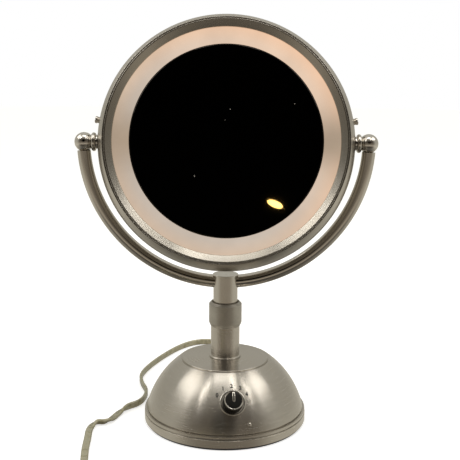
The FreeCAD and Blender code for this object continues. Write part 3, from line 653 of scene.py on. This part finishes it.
def ribbed_bm(low, high, base_r, top_r, ribs):
    """The knob's skirt: round ribs all the way round, with softened ends."""
    bm = bmesh.new()
    around = ribs * 12
    levels = [
        (low, -0.5), (low + 0.15, -0.2), (low + 0.5, 0.0),
        (high - 0.7, 0.0), (high - 0.25, -0.15), (high, -0.45),
    ]
    rings = []
    for z, inset in levels:
        share = (z - low) / (high - low)
        ring = []
        for k in range(around):
            a = 2 * math.pi * k / around
            rib = abs(math.sin(a * ribs / 2)) ** 0.6
            depth = 0.62 * (1 - rib)
            r = base_r + (top_r - base_r) * share + inset - depth
            ring.append(bm.verts.new((r * math.cos(a), r * math.sin(a), z)))
        rings.append(ring)
    for a, b in zip(rings, rings[1:]):
        for k in range(around):
            n = (k + 1) % around
            bm.faces.new([a[k], a[n], b[n], b[k]])
    bm.faces.new(rings[0])
    bm.faces.new(rings[-1])
    return bm


def make_switch(bright, black, gloss, ink):
    place = dome_place(KNOB_Z)
    dish = [
        (4.7, -1.5), (11.7, -1.5), (11.7, 0.9), (11.6, 1.4), (11.2, 1.8), (10.7, 1.9), (10.3, 1.7),
        (10.15, 1.3), (10.1, 0.45), (4.7, 0.4),
    ]
    ring = [
        (7.25, 10.8), (8.15, 10.9, 0.1), (8.25, 11.35), (8.15, 11.8), (7.85, 12.05), (7.5, 12.0),
        (7.25, 11.7),
    ]
    face = [(0, 10.9), (7.3, 10.9), (7.3, 11.3), (6.8, 11.45), (3.5, 11.5), (0, 11.5)]
    rivet = [
        (0, -0.6), (0.9, -0.6), (0.9, -0.1), (1.85, -0.1, 0.1), (1.75, 0.35), (1.3, 0.8), (0.7, 1.02),
        (0, 1.1),
    ]
    seated(lathe("escutcheon_turned", dish, around=128), "base", bright,
           ["escutcheon"], place)
    skirt = mesh_piece("knob_skirt", ribbed_bm(KNOB_LOW, KNOB_HIGH, KNOB_BASE_R, KNOB_TOP_R, KNOB_RIBS), 60)
    seated(skirt, "knob", black, ["knob_body"], place)
    seated(lathe("knob_ring_turned", ring, around=128), "knob", bright,
           ["knob_ring"], place)
    cap = lathe("knob_face", face, closed=False, around=96)
    seated(cap, "knob", gloss, ["knob_inlay"], place)
    pointer = mesh_piece("knob_pointer_bar", pointer_bm(POINTER_LOW), 50)
    seated(pointer, "knob", bright, ["knob_pointer"], place)
    seated(lathe("front_rivet_head", rivet, closed=False, around=48), "base", bright,
           ["front_rivet"], dome_place(RIVET_Z, RIVET_YAW))
    for number, angle in enumerate(NUMERAL_ANGLES):
        make_numeral(number, angle, ink)


def pointer_bm(low):
    """A slim bar from the knob's middle to its ring, open along a slot that shows the dark face."""
    bm = bmesh.new()
    outer, inner = [], []
    for k in range(13):
        a = math.pi + math.pi * k / 12
        outer.append((1.25 * math.cos(a), -0.3 + 1.25 * math.sin(a)))
        inner.append((0.5 * math.cos(a), 0.2 + 0.5 * math.sin(a)))
    outer += [(1.15, 7.1), (-1.15, 7.1)]
    inner += [(0.5, 6.1), (-0.5, 6.1)]
    eased = [(x * 0.87, -0.3 + (y + 0.3) * 0.98) for x, y in outer]
    loops = []
    high = low + 0.8
    for points, z in ((outer, low), (outer, low + 0.65), (eased, high), (inner, high), (inner, low)):
        loops.append([bm.verts.new((x, y, z)) for x, y in points])
    loops.append(loops[0])
    for a, b in zip(loops, loops[1:]):
        for k in range(len(a)):
            n = (k + 1) % len(a)
            bm.faces.new([a[k], a[n], b[n], b[k]])
    return bm


def make_numeral(number, angle, ink):
    """A printed figure that follows the dome round the switch."""
    text = bpy.data.curves.new("numeral", "FONT")
    text.body = str(number)
    text.size = NUMERAL_SIZE * MM
    text.offset = NUMERAL_WEIGHT * MM
    text.align_x = "CENTER"
    text.align_y = "CENTER"
    text.resolution_u = 6
    holder = bpy.data.objects.new("numeral", text)
    bpy.context.scene.collection.objects.link(holder)
    bpy.context.view_layer.update()
    graph = bpy.context.evaluated_depsgraph_get()
    mesh = bpy.data.meshes.new_from_object(holder.evaluated_get(graph))
    bpy.data.objects.remove(holder)
    bm = bmesh.new()
    bm.from_mesh(mesh)
    bmesh.ops.subdivide_edges(bm, edges=bm.edges, cuts=3, use_grid_fill=True)
    a = math.radians(90 + angle)
    cx, cy = NUMERAL_R * math.cos(a), NUMERAL_R * math.sin(a)
    place = dome_place(KNOB_Z)
    for v in bm.verts:
        spot = place @ Vector((v.co.x + cx * MM, v.co.y + cy * MM, 0))
        z = spot.z / MM
        for _ in range(4):
            ahead = math.hypot(spot.x, spot.y) / MM
            slope = dome_slope(z)
            off = (ahead - dome_radius(z)) * math.cos(slope)
            outward = Vector((spot.x, spot.y, 0)).normalized()
            normal = outward * math.cos(slope) + Vector((0, 0, math.sin(slope)))
            spot = spot - normal * (off - INK_LIFT) * MM
            z = spot.z / MM
        v.co = spot / MM
    piece = mesh_piece("numeral_%d" % number, bm)
    seated(piece, "base", ink)


# --- lead ---------------------------------------------------------------------------------------

def coil_points():
    """The put-away length: inwards on the lower layer, then outwards on the upper one."""
    points = []
    turns, per_turn = 5.25, 16
    steps = int(turns * per_turn)
    for k in range(1, steps):
        t = k / per_turn
        if t < 2.6:
            r = 42.6 - 13.2 * t / 2.6
        else:
            r = 29.4 + 13.2 * (t - 2.6) / 2.65
        lift = min(1.0, max(0.0, (t - 2.35) / 0.5))
        a = math.radians(180 + 360 * t)
        r = r / 0.981
        x, y = COIL[0] + r * math.cos(a), COIL[1] + r * math.sin(a)
        points.append((x * MM, y * MM, (LEAD_HEIGHT + LEAD_WIDTH * lift) * MM))
    return points


def lead_line(points):
    """The lead's centre line, read from a smooth spline through its route."""
    curve = bpy.data.curves.new("lead_line", "CURVE")
    curve.dimensions = "3D"
    spline = curve.splines.new("NURBS")
    spline.points.add(len(points) - 1)
    for point, spot in zip(spline.points, points):
        point.co = (*spot, 1.0)
    spline.order_u = 3
    spline.use_endpoint_u = True
    spline.resolution_u = LINE_STEPS
    holder = bpy.data.objects.new("lead_line", curve)
    bpy.context.scene.collection.objects.link(holder)
    bpy.context.view_layer.update()
    mesh = bpy.data.meshes.new_from_object(holder.evaluated_get(bpy.context.evaluated_depsgraph_get()))
    line = [v.co.copy() for v in mesh.vertices]
    bpy.data.objects.remove(holder)
    bpy.data.meshes.remove(mesh)
    return line


def roll_at(point, gone, total):
    """How far the lead is turned on edge at a point, in radians."""
    x, y = point.x / MM, point.y / MM
    if y < -150 or gone > total * 0.32:
        return ON_EDGE
    if x > -92 and y > -10:
        return ON_EDGE
    if y < -118:
        return ON_EDGE * min(1.0, (-118 - y) / 30)
    if y > 0:
        return ON_EDGE * (1 - min(1.0, (14 - y) / 12)) if y < 14 else ON_EDGE
    kink = math.exp(-((y + 22) / 6) ** 2) if x < -107 else 0.0
    return 0.9 * kink


def make_lead(material):
    line = lead_line(LEAD_ROUTE + coil_points() + TAIL_ROUTE)
    lengths = [0.0]
    for a, b in zip(line, line[1:]):
        lengths.append(lengths[-1] + (b - a).length)
    total = lengths[-1]
    rolls = [roll_at(p, s, total) for p, s in zip(line, lengths)]
    for _ in range(ROLL_PASSES):
        between = [(a + 2 * b + c) / 4 for a, b, c in zip(rolls, rolls[1:], rolls[2:])]
        rolls = [rolls[0]] + between + [rolls[-1]]
    lows = [MM * (FLOOR_GAP + FLOOR_GAP * abs(math.sin(r))) for r in rolls]
    line = [Vector((p.x, p.y, max(p.z, low))) for p, low in zip(line, lows)]
    bm = bmesh.new()
    half, core = LEAD_HEIGHT / 2, 14
    section = []
    for k in range(2 * core):
        a = 2 * math.pi * k / (2 * core)
        w, t = math.cos(a), math.sin(a)
        middle = half if w > 0 else -half
        section.append((middle + half * w, half * t * (0.80 if abs(w) < 0.12 else 1.0)))
    rings = []
    for k, point in enumerate(line):
        ahead = (line[min(k + 1, len(line) - 1)] - line[max(k - 1, 0)]).normalized()
        side = Vector((0, 0, 1)).cross(ahead).normalized()
        up = ahead.cross(side)
        wide = side * math.cos(rolls[k]) + up * math.sin(rolls[k])
        thin = ahead.cross(wide)
        rings.append([bm.verts.new(point / MM + wide * w + thin * t) for w, t in section])
    for a, b in zip(rings, rings[1:]):
        for k in range(len(section)):
            n = (k + 1) % len(section)
            bm.faces.new([a[k], a[n], b[n], b[k]])
    bm.faces.new(rings[0])
    bm.faces.new(rings[-1])
    lead = mesh_piece("lead", bm, 60)
    seated(lead, "base", material, ["cord_lead", "cord_coil", "cord_tail"])
    return lead, line


def make_relief(material):
    """Tapered sleeve with grip rings where the lead leaves the base."""
    points = [(0, 71.9), (4.9, 71.9), (4.9, 76.3), (6.1, 76.3, 0.3), (6.0, 78.4, 0.4)]
    for k in range(7):
        z = 79.2 + 2.9 * k
        r = 5.6 - 1.25 * k / 6
        points += [(r - 0.55, z, 0.2), (r - 0.55, z + 0.9, 0.2)]
        points += [(r, z + 1.1, 0.25), (r - 0.15, z + 2.7, 0.25)]
    points += [(3.9, 99.8, 0.3), (0, 99.9)]
    relief = lathe("lead_relief", points, closed=False, around=64)
    place = BASE @ shift(0, 0, EXIT[2] / MM) @ turn("X", -90)
    seated(relief, "base", material, ["strain_relief"], place)
    return relief


def make_plug(material):
    """Moulded plug with a waisted grip."""
    bm = bmesh.new()
    stations = [
        (-30, 4.6, 4.0), (-29.4, 6.2, 4.9), (-26, 7.2, 5.4), (-21, 7.6, 5.6), (-18.5, 8.8, 6.1),
        (-15.5, 11.0, 6.9), (-12, 11.8, 7.2), (-3, 12.0, 7.3), (-0.8, 11.7, 7.1), (0, 10.9, 6.4),
    ]
    around = 48
    rings = []
    for x, w, h in stations:
        ring = []
        for k in range(around):
            a = 2 * math.pi * k / around
            c, s = math.cos(a), math.sin(a)
            ring.append(bm.verts.new((x - 6.0, -215.6 + w * math.copysign(abs(c) ** 0.45, c),
                                      7.4 + h * math.copysign(abs(s) ** 0.45, s))))
        rings.append(ring)
    for a, b in zip(rings, rings[1:]):
        for k in range(around):
            n = (k + 1) % around
            bm.faces.new([a[k], a[n], b[n], b[k]])
    bm.faces.new(rings[0])
    bm.faces.new(rings[-1])
    plug = mesh_piece("plug_moulded", bm, 50)
    seated(plug, "base", material, ["plug_body"])
    return plug


# --- studio -------------------------------------------------------------------------------------

def softbox(name, azimuth, elevation, size, power, tall):
    """A soft light aimed at the mirror; azimuth 0 is in front of it, positive to the right."""
    data = bpy.data.lights.new(name, "AREA")
    data.shape = "RECTANGLE"
    data.size = size
    data.size_y = tall
    data.energy = power
    data.color = (1.0, 0.97, 0.93)
    lamp = bpy.data.objects.new(name, data)
    a, e = math.radians(azimuth), math.radians(elevation)
    aim = Vector((math.sin(a) * math.cos(e), -math.cos(a) * math.cos(e), math.sin(e)))
    lamp.location = Vector(BOX_AIM) + aim * BOX_DISTANCE
    lamp.rotation_euler = aim.to_track_quat("Z", "Y").to_euler()
    lamp.visible_camera = False
    bpy.context.scene.collection.objects.link(lamp)


def mirror_lamp():
    """A small warm lamp across the room, which the mirror shows low on its right."""
    data = bpy.data.lights.new("room_lamp", "AREA")
    data.shape = "ELLIPSE"
    data.size, data.size_y = 0.052, 0.021
    data.energy = 0.009
    data.color = (1.0, 0.62, 0.16)
    lamp = bpy.data.objects.new("room_lamp", data)
    lamp.location = ROOM_LAMP
    lamp.rotation_euler = (lamp.location - Vector(ROOM_LAMP_AIM)).to_track_quat("Z", "Y").to_euler()
    lamp.rotation_euler.rotate_axis("Z", math.radians(-24))
    lamp.visible_camera = False
    bpy.context.scene.collection.objects.link(lamp)


def make_world():
    """A room whose front is dark at eye height, seen only in reflections; the backdrop is white."""
    world = bpy.data.worlds.new("studio")
    bpy.context.scene.world = world
    world.use_nodes = True
    tree = world.node_tree
    tree.nodes.clear()
    add = tree.nodes.new
    link = tree.links.new

    def number(operation, a, b=0.0):
        node = add("ShaderNodeMath")
        node.operation = operation
        for socket, value in zip(node.inputs, (a, b)):
            if isinstance(value, (int, float)):
                socket.default_value = value
            else:
                link(value, socket)
        return node.outputs[0]

    split = add("ShaderNodeSeparateXYZ")
    link(add("ShaderNodeTexCoord").outputs["Generated"], split.inputs[0])
    y, z = split.outputs[1:]
    level = number("MULTIPLY_ADD", z, 0.5)
    level.node.inputs[2].default_value = 0.5

    def by_height(stops):
        ramp = add("ShaderNodeValToRGB")
        link(level, ramp.inputs[0])
        while len(ramp.color_ramp.elements) < len(stops):
            ramp.color_ramp.elements.new(0.5)
        for element, (elevation, colour) in zip(ramp.color_ramp.elements, stops):
            element.position = 0.5 + 0.5 * math.sin(math.radians(elevation))
            element.color = (*colour, 1.0)
        return ramp.outputs[0]

    def eased(value, start, end, low, high):
        node = add("ShaderNodeMapRange")
        node.interpolation_type = "SMOOTHSTEP"
        link(value, node.inputs["Value"])
        for key, amount in (("From Min", start), ("From Max", end), ("To Min", low), ("To Max", high)):
            node.inputs[key].default_value = amount
        return node.outputs[0]

    front = by_height(ROOM_FRONT)
    back = by_height(ROOM_BACK)
    sides = add("ShaderNodeMix")
    sides.data_type = "RGBA"
    link(eased(number("MULTIPLY", y, -1.0), 0.1, 0.8, 0.0, 1.0), sides.inputs[0])
    link(back, sides.inputs[6])
    link(front, sides.inputs[7])
    toward = number("ADD", number("MULTIPLY", y, DARK_AIM[1]), number("MULTIPLY", z, DARK_AIM[2]))
    dark = eased(toward, 0.92, 0.983, 1.0, 0.003)
    room = add("ShaderNodeBackground")
    link(sides.outputs[2], room.inputs["Color"])
    link(dark, room.inputs["Strength"])
    white = add("ShaderNodeBackground")
    white.inputs["Color"].default_value = (1.0, 1.0, 1.0, 1.0)
    white.inputs["Strength"].default_value = 1.0
    mix = add("ShaderNodeMixShader")
    link(add("ShaderNodeLightPath").outputs["Is Camera Ray"], mix.inputs[0])
    link(room.outputs[0], mix.inputs[1])
    link(white.outputs[0], mix.inputs[2])
    link(mix.outputs[0], add("ShaderNodeOutputWorld").inputs[0])


def make_floor():
    bm = bmesh.new()
    bmesh.ops.create_circle(bm, cap_ends=True, segments=96, radius=6000)
    floor = mesh_piece("floor", bm)
    m = Nodes("pale_floor")
    grain = m.noise(object_point(m), 40.0)
    m.link(m.blend(grain, (0.78, 0.78, 0.78), (0.80, 0.80, 0.80)), m.shader.inputs["Base Color"])
    m.set(Roughness=0.9, Emission_Color=(1.0, 1.0, 1.0), Emission_Strength=0.62)
    floor.data.materials.append(m.material)
    floor.location = (0, 0, -0.0002)
    floor.visible_glossy = False
    floor.visible_diffuse = False


def make_camera():
    data = bpy.data.cameras.new("camera")
    data.lens = CAMERA_LENS
    data.sensor_width = 36.0
    data.clip_start = 0.01
    camera = bpy.data.objects.new("camera", data)
    aim = turn("X", 90 - CAMERA_DOWN) @ turn("Z", CAMERA_ROLL)
    camera.matrix_world = Matrix.Translation(CAMERA) @ aim
    bpy.context.scene.collection.objects.link(camera)
    bpy.context.scene.camera = camera


# --- the whole ----------------------------------------------------------------------------------

def dress(nodes, finishes):
    """Gives every CAD node that stays its material."""
    for material, names in finishes:
        for name in names:
            mesh = nodes[name].data
            mesh.materials.clear()
            mesh.materials.append(material)


def main():
    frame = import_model()
    nodes = frame["nodes"]
    scene = bpy.context.scene
    scene.view_settings.view_transform = "Standard"
    make_camera()
    make_world()
    make_floor()
    softbox("left_box", -88, 44, 1.05, 4.4, tall=0.8)
    softbox("right_box", 86, 46, 0.8, 3.3, tall=0.7)
    softbox("top_box", 0, 80, 0.9, 3.2, tall=0.45)
    softbox("left_strip", -50, 52, 0.11, 1.5, tall=0.7)
    softbox("right_strip", 28, 60, 0.08, 0.9, tall=0.8)
    softbox("right_corner", 57, 52, 0.10, 1.1, tall=0.6)
    mirror_lamp()

    dome_nickel = brushed_nickel("nickel_spun", 0.23, 0.90)
    band_nickel = brushed_nickel("nickel_band", 0.28, 0.55, 0.0, grain=0.3)
    # The bezels' nickel has a darker base colour than the other nickel: painted shade for the bezels' dark
    # funnel.
    bezel_nickel_painted_shade = brushed_nickel("nickel_bezel_painted_shade", 0.26, 0.60, 1.0, tint=(0.46, 0.43, 0.38), grain=0.15)
    tube_nickel = brushed_nickel("nickel_tube", 0.16, 0.2, 0.0, uv=True, grain=0.1)
    post_nickel = brushed_nickel("nickel_post", 0.22, 0.5, 0.0, grain=0.5)
    collar_nickel = blasted_nickel("nickel_blasted")
    bright = bright_nickel("nickel_bright")
    glass = silvered_glass("silvered_glass")
    frost = lit_frost("lit_frost")
    black = plastic("black_moulding", (0.008, 0.0075, 0.007), 0.30, 0.15)
    gloss = plastic("black_face", (0.004, 0.004, 0.0035), 0.12, 0.3, 400.0, 0.02)
    ink = plastic("printed_ink", (0.012, 0.01, 0.008), 0.6, 0.0, 3000.0, 0.05)
    vinyl = clear_gold("clear_gold_vinyl")
    zinc = plain_metal("zinc_plate", (0.55, 0.56, 0.58), 0.32)

    make_base(dome_nickel)
    make_collar(collar_nickel)
    make_post(post_nickel, bright)
    make_yoke(tube_nickel, bright)
    make_head(band_nickel, bezel_nickel_painted_shade, glass, frost)
    make_rim_screws(bright)
    make_switch(bright, black, gloss, ink)
    lead, line = make_lead(vinyl)
    relief = make_relief(vinyl)
    plug = make_plug(vinyl)
    dress(nodes, [
        (zinc, ["bottom_plate", "bottom_plate_screws", "shell_lugs", "stem_nut", "switch_nut",
                "post_stop_ring", "pivot_spindles", "spindle_nuts", "mirror_standoffs", "switch_shaft"]),
        (plastic("foam_pad", (0.02, 0.02, 0.02), 0.85, 0.0, 1800.0, 0.5), ["foot_pad"]),
        (plain_metal("cast_iron", (0.14, 0.13, 0.13), 0.6), ["ballast"]),
        (plastic("matte_moulding", (0.03, 0.03, 0.03), 0.5), ["switch_body", "terminal_block"]),
        (plastic("natural_nylon", (0.70, 0.68, 0.62), 0.42), ["collet_bush"]),
        (plastic("solder_mask", (0.03, 0.16, 0.07), 0.3, 0.4), ["dimmer_board"]),
        (plastic("reflector_paint", (0.80, 0.79, 0.75), 0.45), ["lamp_carrier"]),
        (plastic("socket_ceramic", (0.78, 0.75, 0.68), 0.25, 0.4), ["lamp_sockets"]),
        (plastic("frosted_bulb", (0.85, 0.72, 0.52), 0.35, 0.3), ["lamps"]),
        (plastic("wire_sleeve", (0.60, 0.57, 0.48), 0.4), ["post_wiring", "head_wiring"]),
        (vinyl, ["cord_inner"]),
        (plain_metal("blade_brass", (0.72, 0.56, 0.28), 0.28), ["plug_blades"]),
    ])


main()
